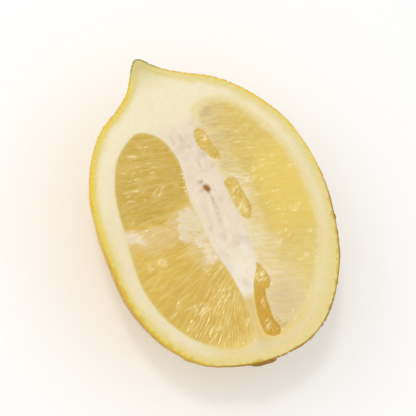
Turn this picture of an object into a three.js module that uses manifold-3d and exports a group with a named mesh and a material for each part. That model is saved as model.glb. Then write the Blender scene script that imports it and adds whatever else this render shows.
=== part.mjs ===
// Half a lemon, cut lengthwise through its middle and lying on its round back with the cut face up.
// Millimetres. +Z is up, out of the cut face. +Y runs along the fruit, from its stem end to its nipple.
// The origin is on the surface that the half rests on, under the middle of its outline.
// The half grew as one piece, so it is one solid. The dry button that the stem left is a second one.
import * as THREE from "three";
import { mergeVertices } from "three/addons/utils/BufferGeometryUtils.js";
import Module from "manifold-3d";

const wasm = await Module();
wasm.setup();

// ---- Driving sizes ----
const LENGTH = 80; // from the stem end to the tip of the nipple
const WIDTH = 58.4; // across the cut face at its widest
const DEPTH = 28.6; // from the resting flat up to the cut face
const REST_FLAT = 0.35; // how far the round back is pressed flat where it rests
const PEEL_WALL = 4.6; // rind and pith together, beside the pulp and past its stem end
const PULP_DROP = 0.5; // the bare pulp lies this far below the pith around it
const FILM_DROP = 0.2; // the skin that still covers a segment lies this far below the pith
const SLOT_DEPTH = 1.4; // where that skin is torn open, down from the cut face
const PIT_DEPTH = 0.8; // the small brown hollow in the core
const PIT_LENGTH = 2.2;
const PIT_WIDTH = 1.3;
const BUTTON_RADIUS = 3.2; // the dry button at the stem end
const BUTTON_WALL = 0.6;
const GAP = 0.3; // between the button and the rind under it

// ---- How finely the curved surfaces are faceted ----
const BODY_SECTIONS = 64;
const BODY_ARC_STEPS = 32;
const OUTLINE_STEPS_PER_POINT = 3;
const PIT_SIDES = 12;
const BUTTON_SIDES = 32;
const ABOVE = 4; // how far a cutting shape stands past the face that it cuts
const MERGE_DISTANCE = 1e-4;

// Each station is [place along the fruit, left edge, right edge], as shares of the half length and the
// half width.
const STATIONS = [
  [1.0, -0.122, -0.122],
  [0.983, -0.158, -0.075],
  [0.938, -0.205, -0.017],
  [0.875, -0.257, 0.089],
  [0.813, -0.322, 0.24],
  [0.75, -0.435, 0.411],
  [0.663, -0.634, 0.568],
  [0.525, -0.795, 0.736],
  [0.325, -0.925, 0.901],
  [0.1, -0.983, 0.979],
  [-0.125, -1.0, 1.0],
  [-0.35, -0.988, 0.955],
  [-0.563, -0.904, 0.87],
  [-0.738, -0.767, 0.733],
  [-0.863, -0.603, 0.589],
  [-0.945, -0.356, 0.432],
  [-0.988, -0.137, 0.257],
  [-1.0, 0.051, 0.051],
];

// Closed outlines on the cut face, anticlockwise from above. Each point is [across, along], as shares of the
// half width and half length inside the peel.
const LEFT_SEGMENT = [
  [-0.415, 0.644], [-0.528, 0.621], [-0.711, 0.523], [-0.825, 0.381], [-0.886, 0.24], [-0.927, 0.028],
  [-0.959, -0.141], [-0.976, -0.282], [-0.955, -0.424], [-0.886, -0.579], [-0.764, -0.734],
  [-0.589, -0.862], [-0.386, -0.944], [-0.244, -0.96], [-0.122, -0.918], [-0.081, -0.791],
  [-0.081, -0.621], [-0.106, -0.466], [-0.163, -0.282], [-0.187, -0.028], [-0.187, 0.113],
  [-0.142, 0.339], [-0.179, 0.489], [-0.252, 0.579],
];
const RIGHT_SEGMENT = [
  [0.171, 0.579], [0.098, 0.48], [0.114, 0.395], [0.179, 0.311], [0.195, 0.141], [0.211, -0.056],
  [0.232, -0.198], [0.187, -0.367], [0.13, -0.52], [0.061, -0.621], [0.008, -0.734], [-0.02, -0.847],
  [-0.008, -0.944], [0.073, -0.983], [0.224, -0.966], [0.366, -0.932], [0.488, -0.884], [0.65, -0.763],
  [0.793, -0.636], [0.894, -0.523], [0.972, -0.339], [1.0, -0.17], [0.996, 0.028], [0.951, 0.192],
  [0.854, 0.362], [0.752, 0.494], [0.622, 0.616], [0.467, 0.681], [0.325, 0.692], [0.199, 0.655],
];
// where the skin of the right segment is torn open beside the core, from the nipple end down
const SLOTS = [
  [
    [0.163, 0.531], [0.106, 0.494], [0.098, 0.452], [0.114, 0.395], [0.163, 0.339], [0.224, 0.305],
    [0.264, 0.282], [0.268, 0.325], [0.244, 0.395], [0.224, 0.466], [0.203, 0.508],
  ],
  [
    [0.203, 0.124], [0.199, 0.056], [0.203, -0.028], [0.22, -0.099], [0.256, -0.155], [0.301, -0.169],
    [0.346, -0.141], [0.362, -0.085], [0.35, -0.028], [0.337, 0.056], [0.309, 0.121],
  ],
  [
    [0.167, -0.508], [0.154, -0.551], [0.098, -0.576], [0.061, -0.63], [0.028, -0.706], [0.0, -0.791],
    [-0.02, -0.876], [-0.016, -0.932], [0.012, -0.969], [0.073, -0.983], [0.122, -0.983],
    [0.146, -0.949], [0.142, -0.904], [0.122, -0.862], [0.13, -0.805], [0.138, -0.72], [0.171, -0.655],
    [0.211, -0.664], [0.244, -0.621], [0.244, -0.579], [0.211, -0.508], [0.183, -0.475],
  ],
];
// the scrap of skin that still lies across the left segment
const SCRAP = [
  [-0.16, 0.042], [-0.285, 0.062], [-0.386, 0.042], [-0.427, -0.028], [-0.459, -0.113], [-0.427, -0.169],
  [-0.325, -0.198], [-0.325, -0.254], [-0.244, -0.353], [-0.14, -0.362],
];
const PIT_PLACE = [0.024, 0.119];
const BUTTON_PLACE = -0.11; // across, as a share of the half width

// ---- Sizes worked out from the above ----
const HALF_LENGTH = LENGTH / 2;
const HALF_WIDTH = WIDTH / 2;
const FULL_DEPTH = DEPTH + REST_FLAT; // of the round back, before it is pressed flat
const PULP_HALF_LENGTH = HALF_LENGTH - PEEL_WALL;
const PULP_HALF_WIDTH = HALF_WIDTH - PEEL_WALL;

// A closed geometry as a manifold-3d solid.
function solidOf(geometry) {
  const bare = geometry.clone();
  bare.deleteAttribute("normal");
  bare.deleteAttribute("uv");
  const merged = mergeVertices(bare, MERGE_DISTANCE);
  const corners = merged.index.array;
  const kept = [];
  for (let i = 0; i < corners.length; i += 3) {
    const [a, b, c] = [corners[i], corners[i + 1], corners[i + 2]];
    if (a !== b && b !== c && c !== a) kept.push(a, b, c);
  }
  return new wasm.Manifold(
    new wasm.Mesh({
      numProp: 3,
      vertProperties: merged.getAttribute("position").array,
      triVerts: new Uint32Array(kept),
    }),
  );
}

// A manifold-3d solid as a geometry.
function geometryOf(solid) {
  const mesh = solid.getMesh();
  const places = new Float32Array(mesh.numVert * 3);
  for (let i = 0; i < mesh.numVert; i++) {
    const from = i * mesh.numProp;
    places.set(mesh.vertProperties.subarray(from, from + 3), i * 3);
  }
  const geometry = new THREE.BufferGeometry();
  geometry.setAttribute("position", new THREE.BufferAttribute(places, 3));
  geometry.setIndex(new THREE.BufferAttribute(new Uint32Array(mesh.triVerts), 1));
  geometry.computeVertexNormals();
  return geometry;
}

// Closed sections, each a list of the same number of points, joined into one skin. The first and last have
// no width, so they close the ends. A section runs anticlockwise, seen from its +Y side.
function skinOf(sections) {
  const places = sections.flatMap((section) => section.flatMap((p) => [p.x, p.y, p.z]));
  const count = sections[0].length;
  const corners = [];
  for (let s = 0; s + 1 < sections.length; s++) {
    for (let i = 0; i < count; i++) {
      const j = (i + 1) % count;
      const [a, b] = [s * count + i, s * count + j];
      const [c, d] = [a + count, b + count];
      corners.push(a, c, b, b, c, d);
    }
  }
  const geometry = new THREE.BufferGeometry();
  geometry.setAttribute("position", new THREE.Float32BufferAttribute(places, 3));
  geometry.setIndex(corners);
  const merged = mergeVertices(geometry, MERGE_DISTANCE);
  merged.computeVertexNormals();
  return merged;
}

// The same skin with every point moved out along its normal.
function grown(skin, distance) {
  const moved = skin.clone();
  const place = moved.getAttribute("position");
  const normal = skin.getAttribute("normal");
  const p = new THREE.Vector3();
  const n = new THREE.Vector3();
  for (let i = 0; i < place.count; i++) {
    p.fromBufferAttribute(place, i).addScaledVector(n.fromBufferAttribute(normal, i), distance);
    place.setXYZ(i, p.x, p.y, p.z);
  }
  return moved;
}

// A block wider and longer than the fruit, from the resting surface up to the cut face.
function belowCut() {
  const block = new THREE.BoxGeometry(2 * WIDTH, 2 * LENGTH, DEPTH);
  return solidOf(block.translate(0, 0, DEPTH / 2));
}

// Closely spaced stations on smooth edges, in millimetres: place along, left edge and right edge.
function smoothStations() {
  const curve = new THREE.CatmullRomCurve3(
    STATIONS.map(([along, left, right]) =>
      new THREE.Vector3(left * HALF_WIDTH, along * HALF_LENGTH, right * HALF_WIDTH)),
    false,
    "centripetal",
  );
  return curve.getPoints(BODY_SECTIONS).map((p) => ({ y: p.y, left: p.x, right: p.z }));
}

// The round back's skin, with straight sides that stand above the cut face.
function bodySkin() {
  return skinOf(smoothStations().map(({ y, left, right }) => {
    const middle = (left + right) / 2;
    const half = (right - left) / 2;
    const depth = (half / HALF_WIDTH) * FULL_DEPTH;
    const section = [new THREE.Vector3(left, y, DEPTH + ABOVE), new THREE.Vector3(right, y, DEPTH + ABOVE)];
    for (let i = 0; i <= BODY_ARC_STEPS; i++) {
      const turn = (Math.PI * i) / BODY_ARC_STEPS;
      const across = middle + half * Math.cos(turn);
      section.push(new THREE.Vector3(across, y, DEPTH - depth * Math.sin(turn)));
    }
    return section;
  }));
}

// A smooth closed outline on the cut face, cut straight down to some depth under it.
function well(outline, depth) {
  const curve = new THREE.CatmullRomCurve3(
    outline.map(([x, y]) => new THREE.Vector3(x * PULP_HALF_WIDTH, y * PULP_HALF_LENGTH, 0)),
    true,
    "centripetal",
  );
  const points = curve.getPoints(outline.length * OUTLINE_STEPS_PER_POINT).slice(0, -1);
  const shape = new THREE.Shape(points.map((p) => new THREE.Vector2(p.x, p.y)));
  const extruded = new THREE.ExtrudeGeometry(shape, { depth: depth + ABOVE, bevelEnabled: false });
  return solidOf(extruded.translate(0, 0, DEPTH - depth));
}

// The small brown hollow in the core.
function pit() {
  const drill = new THREE.CylinderGeometry(0.5, 0.5, 2 * PIT_DEPTH, PIT_SIDES);
  drill.rotateX(Math.PI / 2).scale(PIT_WIDTH, PIT_LENGTH, 1);
  return solidOf(drill.translate(PIT_PLACE[0] * PULP_HALF_WIDTH, PIT_PLACE[1] * PULP_HALF_LENGTH, DEPTH));
}

// The half fruit, with its pulp, torn skin and pit sunk below the pith.
function lemonHalf(skin) {
  const barePulp = well(LEFT_SEGMENT, PULP_DROP).subtract(well(SCRAP, PULP_DROP + ABOVE));
  const coveredPulp = [well(LEFT_SEGMENT, FILM_DROP), well(RIGHT_SEGMENT, FILM_DROP)];
  const slots = SLOTS.map((slot) => well(slot, SLOT_DEPTH));
  const half = solidOf(skin).intersect(belowCut());
  return [barePulp, ...coveredPulp, ...slots, pit()].reduce((left, cut) => left.subtract(cut), half);
}

// The dry stem button, halved by the cut, seated on the rind at the stem end.
function stemButton(skin) {
  const disc = new THREE.CylinderGeometry(BUTTON_RADIUS, BUTTON_RADIUS, HALF_LENGTH, BUTTON_SIDES);
  disc.translate(BUTTON_PLACE * HALF_WIDTH, -HALF_LENGTH, DEPTH);
  return solidOf(disc)
    .intersect(solidOf(grown(skin, GAP + BUTTON_WALL)))
    .subtract(solidOf(grown(skin, GAP)))
    .intersect(belowCut());
}

function named(name, solid, color, roughness) {
  const material = new THREE.MeshStandardMaterial({ color, roughness, metalness: 0 });
  const mesh = new THREE.Mesh(geometryOf(solid), material);
  mesh.name = name;
  return mesh;
}

const skin = bodySkin();
const lemon = new THREE.Group();
lemon.add(named("lemon_half", lemonHalf(skin), 0xe6bd2a, 0.45));
lemon.add(named("stem_button", stemButton(skin), 0x5c4420, 0.85));

export default lemon;
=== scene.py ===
# Half a lemon, cut lengthwise and lying on its peel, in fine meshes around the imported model.
# Shapes are worked out in millimetres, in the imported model's frame, and become metres when a mesh is made.
import math

import bmesh
import bpy
import numpy as np
from mathutils import Matrix, Vector
from mathutils.geometry import delaunay_2d_cdt
from mathutils.kdtree import KDTree


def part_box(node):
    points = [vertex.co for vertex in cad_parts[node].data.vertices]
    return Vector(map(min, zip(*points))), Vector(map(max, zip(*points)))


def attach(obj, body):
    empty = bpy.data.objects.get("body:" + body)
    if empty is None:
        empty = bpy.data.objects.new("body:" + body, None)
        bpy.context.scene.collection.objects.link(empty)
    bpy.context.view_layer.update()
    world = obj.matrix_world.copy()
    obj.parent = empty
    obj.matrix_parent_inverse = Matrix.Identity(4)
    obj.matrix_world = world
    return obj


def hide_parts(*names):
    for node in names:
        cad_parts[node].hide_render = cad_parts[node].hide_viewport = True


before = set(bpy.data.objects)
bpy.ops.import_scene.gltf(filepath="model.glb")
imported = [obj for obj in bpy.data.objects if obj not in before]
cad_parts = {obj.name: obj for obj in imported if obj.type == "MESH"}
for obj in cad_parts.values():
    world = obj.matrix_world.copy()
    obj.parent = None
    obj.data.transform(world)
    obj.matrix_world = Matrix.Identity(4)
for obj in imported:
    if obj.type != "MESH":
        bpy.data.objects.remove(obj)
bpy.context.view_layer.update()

MM = 0.001
LOW, HIGH = (np.array(corner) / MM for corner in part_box("lemon_half"))
BUTTON_LOW, BUTTON_HIGH = (np.array(corner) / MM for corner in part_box("stem_button"))
HALF_WIDTH = (HIGH[0] - LOW[0]) / 2
HALF_LENGTH = (HIGH[1] - LOW[1]) / 2
TOP = HIGH[2]  # the height of the cut face

# ---- Sizes, in millimetres ----
REST_FLAT = 0.35  # the round back is pressed flat by this much
DEPTH_SHARE = (TOP + REST_FLAT) / HALF_WIDTH  # how deep the round back is for its half width
PEEL_WALL = 4.6  # rind and pith beside the pulp
RIND_WALL = 1.3
WELL_DEPTH = 3.5  # how deep the pulp pieces reach into the pith piece
PULP_DROP = 0.32
SKIN_DROP = 0.12
SKIN_WALL = 0.15
SKINNED_PULP_DROP = 0.34  # the pulp under the segment skin
SCRAP_DROP = 0.16
SCRAP_WALL = 0.3
PULP_GAP = 0.02  # between the pulp pieces and the floor of their wells
ON_FACE = 1e-4  # points this near the cut face's height are on it
SHARP_ANGLE = math.radians(48)  # surfaces that meet at more than this keep a sharp edge
FINE = 0.1  # the spacing of the loops from which distances are measured
RIND_STEPS = 156  # quads along a quarter of the round back
DOME_RINGS = 14
RIM_SPACING = 0.2
PITH_SPACING = 0.26
PULP_SPACING = 0.19
SKIN_SPACING = 0.22
HIDDEN_PULP_SPACING = 0.25
SCRAP_SPACING = 0.22

# ---- Outlines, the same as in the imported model; the slots reach a little past the segment's own edge ----
# [place along the fruit, left edge, right edge], as shares of the half length and half width
STATIONS = [
    (1.0, -0.122, -0.122), (0.983, -0.158, -0.075), (0.938, -0.205, -0.017), (0.875, -0.257, 0.089),
    (0.813, -0.322, 0.24), (0.75, -0.435, 0.411), (0.663, -0.634, 0.568), (0.525, -0.795, 0.736),
    (0.325, -0.925, 0.901), (0.1, -0.983, 0.979), (-0.125, -1.0, 1.0), (-0.35, -0.988, 0.955),
    (-0.563, -0.904, 0.87), (-0.738, -0.767, 0.733), (-0.863, -0.603, 0.589), (-0.945, -0.356, 0.432),
    (-0.988, -0.137, 0.257), (-1.0, 0.051, 0.051),
]
# [across, along], anticlockwise, as shares of the half width and half length inside the peel
LEFT_SEGMENT = [
    (-0.415, 0.644), (-0.528, 0.621), (-0.711, 0.523), (-0.825, 0.381), (-0.886, 0.24), (-0.927, 0.028),
    (-0.959, -0.141), (-0.976, -0.282), (-0.955, -0.424), (-0.886, -0.579), (-0.764, -0.734),
    (-0.589, -0.862), (-0.386, -0.944), (-0.244, -0.96), (-0.122, -0.918), (-0.081, -0.791),
    (-0.081, -0.621), (-0.106, -0.466), (-0.163, -0.282), (-0.187, -0.028), (-0.187, 0.113),
    (-0.142, 0.339), (-0.179, 0.489), (-0.252, 0.579),
]
RIGHT_SEGMENT = [
    (0.171, 0.579), (0.098, 0.48), (0.114, 0.395), (0.179, 0.311), (0.195, 0.141), (0.211, -0.056),
    (0.232, -0.198), (0.187, -0.367), (0.13, -0.52), (0.061, -0.621), (0.008, -0.734), (-0.02, -0.847),
    (-0.008, -0.944), (0.073, -0.983), (0.224, -0.966), (0.366, -0.932), (0.488, -0.884), (0.65, -0.763),
    (0.793, -0.636), (0.894, -0.523), (0.972, -0.339), (1.0, -0.17), (0.996, 0.028), (0.951, 0.192),
    (0.854, 0.362), (0.752, 0.494), (0.622, 0.616), (0.467, 0.681), (0.325, 0.692), (0.199, 0.655),
]
SLOTS = [
    [
        (0.163, 0.531), (0.1, 0.515), (0.07, 0.452), (0.085, 0.385), (0.135, 0.33), (0.21, 0.297),
        (0.264, 0.282), (0.268, 0.325), (0.244, 0.395), (0.224, 0.466), (0.203, 0.508),
    ],
    [
        (0.203, 0.124), (0.199, 0.056), (0.203, -0.028), (0.22, -0.099), (0.256, -0.155), (0.301, -0.169),
        (0.346, -0.141), (0.362, -0.085), (0.35, -0.028), (0.337, 0.056), (0.309, 0.121),
    ],
    [
        (0.167, -0.508), (0.13, -0.54), (0.075, -0.57), (0.035, -0.63), (-0.002, -0.716), (-0.03, -0.791),
        (-0.045, -0.876), (-0.035, -0.945), (0.002, -0.985), (0.07, -0.995), (0.122, -0.985),
        (0.146, -0.949), (0.142, -0.904), (0.122, -0.862), (0.13, -0.805), (0.138, -0.72),
        (0.171, -0.655), (0.211, -0.664), (0.244, -0.621), (0.244, -0.579), (0.211, -0.508),
        (0.183, -0.475),
    ],
]
SCRAP = [
    (-0.16, 0.042), (-0.285, 0.062), (-0.386, 0.042), (-0.427, -0.028), (-0.459, -0.113),
    (-0.427, -0.169), (-0.325, -0.198), (-0.325, -0.254), (-0.244, -0.353), (-0.14, -0.362),
]
PIT_PLACE = (0.024, 0.119)


# ---- Numbers ----
def linear(red, green, blue):
    """A colour given in sRGB bytes, as the linear numbers that shaders use."""
    c = np.array([red, green, blue]) / 255
    return np.where(c <= 0.04045, c / 12.92, ((c + 0.055) / 1.055) ** 2.4)


def mix(a, b, share):
    """a where share is 0 and b where it is 1. Shares belong to points, and a and b may be colours."""
    share = np.atleast_1d(share)[:, None]
    return a * (1 - share) + b * share


def painted(tint, *layers):
    """A tint with layers over it in turn, each a colour and its share at each point."""
    for colour, share in layers:
        tint = mix(tint, colour, share)
    return tint


def step(low, high, value):
    """0 below low and 1 above high, with a smooth change between."""
    t = np.clip((value - low) / (high - low), 0, 1)
    return t * t * (3 - 2 * t)


def fall(low, high, value):
    """1 below low and 0 above high, with a smooth change between."""
    return 1 - step(low, high, value)


def hill(distance, reach):
    """1 where the distance is 0, and 0.37 where it is the reach."""
    return np.exp(-((distance / reach) ** 2))


def bump(points, centre, radii):
    """A round hill, 1 at its centre and 0.37 at its radii."""
    return np.exp(-(((points - np.array(centre)) / np.array(radii)) ** 2).sum(axis=1))


def bumps(points, hills):
    """The sum of several round hills, each given as its height, centre and radii."""
    return sum(height * bump(points, centre, radii) for height, centre, radii in hills)


def lattice(cells, seed):
    """A random number from -1 to 1 for each whole-numbered cell, the same in each run."""
    x, y, z = (cells[:, i].astype(np.int64) for i in range(3))
    n = (x * 73856093) ^ (y * 19349663) ^ (z * 83492791) ^ (seed * 2654435761)
    n = ((n ^ (n >> 13)) * 1274126177) & 0xFFFFFFFF
    n = ((n ^ (n >> 15)) * 2246822519) & 0xFFFFFFFF
    return ((n ^ (n >> 12)) & 0xFFFFFF) / 0x7FFFFF - 1


def in_space(points):
    """A copy of the points with three coordinates, of which the third is 0 where they have two."""
    return np.column_stack([points, np.zeros((len(points), 3 - points.shape[1]))])


def noise(points, size, seed, octaves=2):
    """Smooth noise from about -1 to 1, with waves of the given size or sizes in millimetres."""
    p = in_space(points) / np.broadcast_to(size, 3)
    total = np.zeros(len(p))
    weight = 0
    for octave in range(octaves):
        q = p * 2**octave + 17.3 * octave
        cell = np.floor(q)
        t = q - cell
        t = t * t * (3 - 2 * t)
        layer = np.zeros(len(p))
        for corner in np.ndindex(2, 2, 2):
            share = np.prod(np.where(corner, t, 1 - t), axis=1)
            layer += share * lattice(cell + corner, seed + octave)
        total += layer / 2**octave
        weight += 1 / 2**octave
    return total / weight


def drift(points, size, seed, other_seed, octaves=2):
    """Smooth noise from about -1 to 1 in both directions of the cut face."""
    return np.column_stack([noise(points, size, seed, octaves), noise(points, size, other_seed, octaves)])


def slanted(points, along, across):
    """Points of the cut face turned by the angle that has this cosine and sine."""
    return points @ np.array([[along, across], [-across, along]])


def catmull(points, closed, steps):
    """A smooth line through points, with the given number of steps from each to the next."""
    p = np.asarray(points, float)
    if closed:
        p = np.vstack([p[-1:], p, p[:2]])
    else:
        p = np.vstack([2 * p[:1] - p[1:2], p, 2 * p[-1:] - p[-2:-1]])
    a, b, c, d = (q[:, None, :] for q in (p[:-3], p[1:-2], p[2:-1], p[3:]))

    def stride(start, end):
        return np.sqrt(np.linalg.norm(end - start, axis=2, keepdims=True))

    k1 = stride(a, b)
    k2 = k1 + stride(b, c)
    k3 = k2 + stride(c, d)
    t = k1 + (k2 - k1) * np.linspace(0, 1, steps, endpoint=False)[None, :, None]
    ab = ((k1 - t) * a + t * b) / k1
    bc = ((k2 - t) * b + (t - k1) * c) / (k2 - k1)
    cd = ((k3 - t) * c + (t - k2) * d) / (k3 - k2)
    abc = ((k2 - t) * ab + t * bc) / k2
    bcd = ((k3 - t) * bc + (t - k1) * cd) / (k3 - k1)
    line = (((k2 - t) * abc + (t - k1) * bcd) / (k2 - k1)).reshape(-1, p.shape[1])
    return line if closed else np.vstack([line, p[-2]])


# ---- Loops: closed outlines on the cut face ----
def resampled(loop, spacing):
    """The same loop with points at even distances."""
    ring = np.vstack([loop, loop[:1]])
    run = np.concatenate([[0], np.cumsum(np.linalg.norm(np.diff(ring, axis=0), axis=1))])
    at = np.linspace(0, run[-1], max(8, round(run[-1] / spacing)), endpoint=False)
    return np.column_stack([np.interp(at, run, ring[:, i]) for i in range(2)])


def segment_loop(shares, spacing, ragged=0.0, seed=0):
    """One of the outlines inside the peel, in millimetres, with an edge as ragged as is asked."""
    scale = np.array([HALF_WIDTH - PEEL_WALL, HALF_LENGTH - PEEL_WALL])
    loop = resampled(catmull(np.array(shares) * scale, True, 12), spacing)
    if ragged:
        loop = loop + ragged * drift(loop, 0.9, seed, seed + 1, 3)
    return loop


def inside(points, loop):
    """Whether each point is inside a loop."""
    x, y = points[:, 0], points[:, 1]
    odd = np.zeros(len(points), bool)
    for (x0, y0), (x1, y1) in zip(loop, np.roll(loop, -1, axis=0)):
        if y0 != y1:
            odd ^= ((y0 > y) != (y1 > y)) & (x < (x1 - x0) * (y - y0) / (y1 - y0) + x0)
    return odd


def tree_of(points):
    """A tree in which the points nearest to a place are found."""
    tree = KDTree(len(points))
    for i, p in enumerate(in_space(points)):
        tree.insert(p, i)
    tree.balance()
    return tree


def nearest(points, targets):
    """The distance from each point to its nearest target, and which target that is."""
    tree = tree_of(targets)
    found = [tree.find(p) for p in in_space(points)]
    return np.array([f[2] for f in found]), np.array([f[1] for f in found])


def depth_in(points, loop):
    """How far each point is inside a loop, and below 0 outside it."""
    away, _ = nearest(points, resampled(loop, FINE))
    return np.where(inside(points, loop), away, -away)


def inset(loop, distance):
    """The loop moved in by a distance, along normals that are evened out so that tight bends don't fold."""
    ahead = np.roll(loop, -4, axis=0) - np.roll(loop, 4, axis=0)
    normal = np.column_stack([-ahead[:, 1], ahead[:, 0]])
    normal /= np.linalg.norm(normal, axis=1, keepdims=True)
    return loop + distance * normal


# ---- The round back ----
def back_from_directions(directions):
    """Points of the round back for directions on the lower half of a ball."""
    run = np.concatenate([[0], np.cumsum(np.linalg.norm(np.diff(PROFILE[:, [0, 3]], axis=0), axis=1))])
    share = np.arccos(np.clip(directions[:, 1], -1, 1)) / np.pi
    y, left, right, half = (np.interp(share * run[-1], run, PROFILE[:, i]) for i in range(4))
    turn = np.arctan2(-directions[:, 2], directions[:, 0])
    x = (left + right) / 2 + half * np.cos(turn)
    z = TOP - half / HALF_WIDTH * (TOP + REST_FLAT) * np.sin(np.maximum(turn, 0))
    return np.column_stack([x, y, np.maximum(z, 0)])


def joined(grid):
    """The quads between the rows and columns of a grid of point numbers."""
    corners = (grid[:-1, :-1], grid[1:, :-1], grid[1:, 1:], grid[:-1, 1:])
    return np.stack(corners, axis=2).reshape(-1, 4)


def rings_of(count, rings):
    """A grid that numbers the points of rings, each of which ends at its own start."""
    grid = np.arange(rings * count).reshape(rings, count)
    return np.column_stack([grid, grid[:, 0]])


def half_ball(steps):
    """Evenly spread directions over the lower half of a ball, with the quads that join them."""
    full = np.tan(np.linspace(-np.pi / 4, np.pi / 4, steps + 1))
    half = full[: steps // 2 + 1]
    patches = []
    for turn in range(4):
        u, v = np.meshgrid(full, half, indexing="ij")
        cos, sin = (1, 0, -1, 0)[turn], (0, 1, 0, -1)[turn]
        x = cos * np.ones_like(u) - sin * u
        y = sin * np.ones_like(u) + cos * u
        patches.append(np.stack([x, y, v], axis=2))
    u, v = np.meshgrid(full, full, indexing="ij")
    patches.append(np.stack([v, u, -np.ones_like(u)], axis=2))
    points, quads, start = [], [], 0
    for patch in patches:
        grid = np.arange(len(patch) * patch.shape[1]).reshape(patch.shape[:2])
        quads.append(joined(start + grid))
        points.append(patch.reshape(-1, 3))
        start += grid.size
    points = np.vstack(points)
    points /= np.linalg.norm(points, axis=1, keepdims=True)
    return points, np.vstack(quads)


def dome(ring, within):
    """Rings of quads from a loop on the cut face down to the bottom, this far within the round back."""
    order = np.argsort(ring[:, 1])
    left_side = ring[:, 0] < np.interp(ring[:, 1], [-HALF_LENGTH, HALF_LENGTH], AXIS_ENDS)
    sides = []
    for chosen in (left_side, ~left_side):
        kept = order[chosen[order]]
        sides.append((ring[kept, 1], ring[kept, 0]))
    centre = np.array([0.0, -0.1 * HALF_LENGTH])
    deep = (TOP - within + REST_FLAT) / (HALF_WIDTH - within)
    rings = []
    for k in range(DOME_RINGS):
        flat = centre + (ring - centre) * math.cos(math.pi / 2 * k / DOME_RINGS)
        left, right = (np.interp(flat[:, 1], *side) for side in sides)
        half = np.maximum((right - left) / 2, 0)
        under = half**2 - (flat[:, 0] - (left + right) / 2) ** 2
        z = TOP - deep * np.sqrt(np.maximum(under, 0)) * (k > 0)
        rings.append(np.column_stack([flat, np.maximum(z, within)]))
    points = np.vstack(rings + [[[*centre, rings[-1][:, 2].min()]]])
    grid = rings_of(len(ring), DOME_RINGS)
    faces = [*joined(grid), *([i, len(points) - 1, j] for i, j in zip(grid[-1], grid[-1, 1:]))]
    return points, faces


# ---- Filling outlines with fine triangles ----
def filled(outer, holes, spacing, seed):
    """Points and triangles that fill a loop but not its holes."""
    loops = [outer, *holes]
    low, high = outer.min(axis=0), outer.max(axis=0)
    rows = np.arange(low[1], high[1], spacing * math.sqrt(3) / 2)
    columns = np.arange(low[0], high[0], spacing)
    x, y = np.meshgrid(columns, rows)
    x = x + spacing / 2 * (np.arange(len(rows)) % 2)[:, None]
    grid = np.column_stack([x.ravel(), y.ravel()])
    grid += np.random.default_rng(seed).uniform(-0.16, 0.16, grid.shape) * spacing
    keep = inside(grid, outer)
    for hole in holes:
        keep &= ~inside(grid, hole)
    grid = grid[keep]
    away, _ = nearest(grid, np.vstack([resampled(loop, spacing / 2) for loop in loops]))
    grid = grid[away > 0.55 * spacing]
    edges, start = [], 0
    for loop in loops:
        edges += [(start + i, start + (i + 1) % len(loop)) for i in range(len(loop))]
        start += len(loop)
    flat = np.vstack([*loops, grid])
    found = delaunay_2d_cdt([Vector(p) for p in flat], edges, [], 0, 1e-7)
    points = np.array([tuple(p) for p in found[0]])
    triangles = np.array(found[2])
    middles = points[triangles].mean(axis=1)
    keep = inside(middles, outer)
    for hole in holes:
        keep &= ~inside(middles, hole)
    return points, triangles[keep]


def raised(points, height):
    """Flat points at a height, or at a height for each."""
    return np.column_stack([points, np.broadcast_to(height, len(points))])


def wall(loop, high, low):
    """A strip of quads straight down from a loop, facing away from it where the loop is anticlockwise."""
    return np.vstack([raised(loop, high), raised(loop, low)]), joined(rings_of(len(loop), 2))


# ---- Meshes ----
def in_scene(name, data):
    """A new object in the scene, with this mesh, light or camera."""
    thing = bpy.data.objects.new(name, data)
    bpy.context.scene.collection.objects.link(thing)
    return thing


def vectors(source, what):
    """One vector for each point of a mesh, such as its place or its normal, as an array."""
    values = np.empty(len(source) * 3)
    source.foreach_get(what, values)
    return values.reshape(-1, 3)


class Piece:
    """Faces gathered for one object, then welded, shaped, coloured and made into a Blender object."""

    def __init__(self, name):
        self.name = name
        self.points = []
        self.faces = []
        self.count = 0

    def add(self, points, faces, flip=False):
        """Add faces, each given as the numbers of its points in this list of points."""
        order = -1 if flip else 1
        self.faces += [[self.count + int(i) for i in face[::order]] for face in faces]
        self.points.append(points)
        self.count += len(points)

    def weld(self, distance=0.004):
        """Join the points that lie together into one mesh, and give its points."""
        mesh = bpy.data.meshes.new(self.name)
        mesh.from_pydata(np.vstack(self.points).tolist(), [], self.faces)
        work = bmesh.new()
        work.from_mesh(mesh)
        bmesh.ops.remove_doubles(work, verts=work.verts, dist=distance)
        work.to_mesh(mesh)
        work.free()
        self.mesh = mesh
        return self.read()

    def read(self):
        return vectors(self.mesh.vertices, "co")

    def place(self, points):
        self.mesh.vertices.foreach_set("co", points.ravel())
        self.mesh.update()

    def finish(self, tint, material, slot, node):
        """Colour the points, turn millimetres into metres, and hand the piece to the frame."""
        self.place(self.read() * MM)
        colour = self.mesh.color_attributes.new("tint", "FLOAT_COLOR", "POINT")
        colour.data.foreach_set("color", np.column_stack([tint, np.ones(len(tint))]).ravel())
        self.mesh.shade_smooth()
        self.mesh.set_sharp_from_angle(angle=SHARP_ANGLE)
        self.mesh.materials.append(material)
        piece = in_scene(self.name, self.mesh)
        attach(piece, "root")
        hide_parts(node)
        return piece


# ---- Materials ----
def set_inputs(node, values):
    """Give a node's sockets their fixed values."""
    for name, value in values.items():
        node.inputs[name].default_value = value


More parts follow.
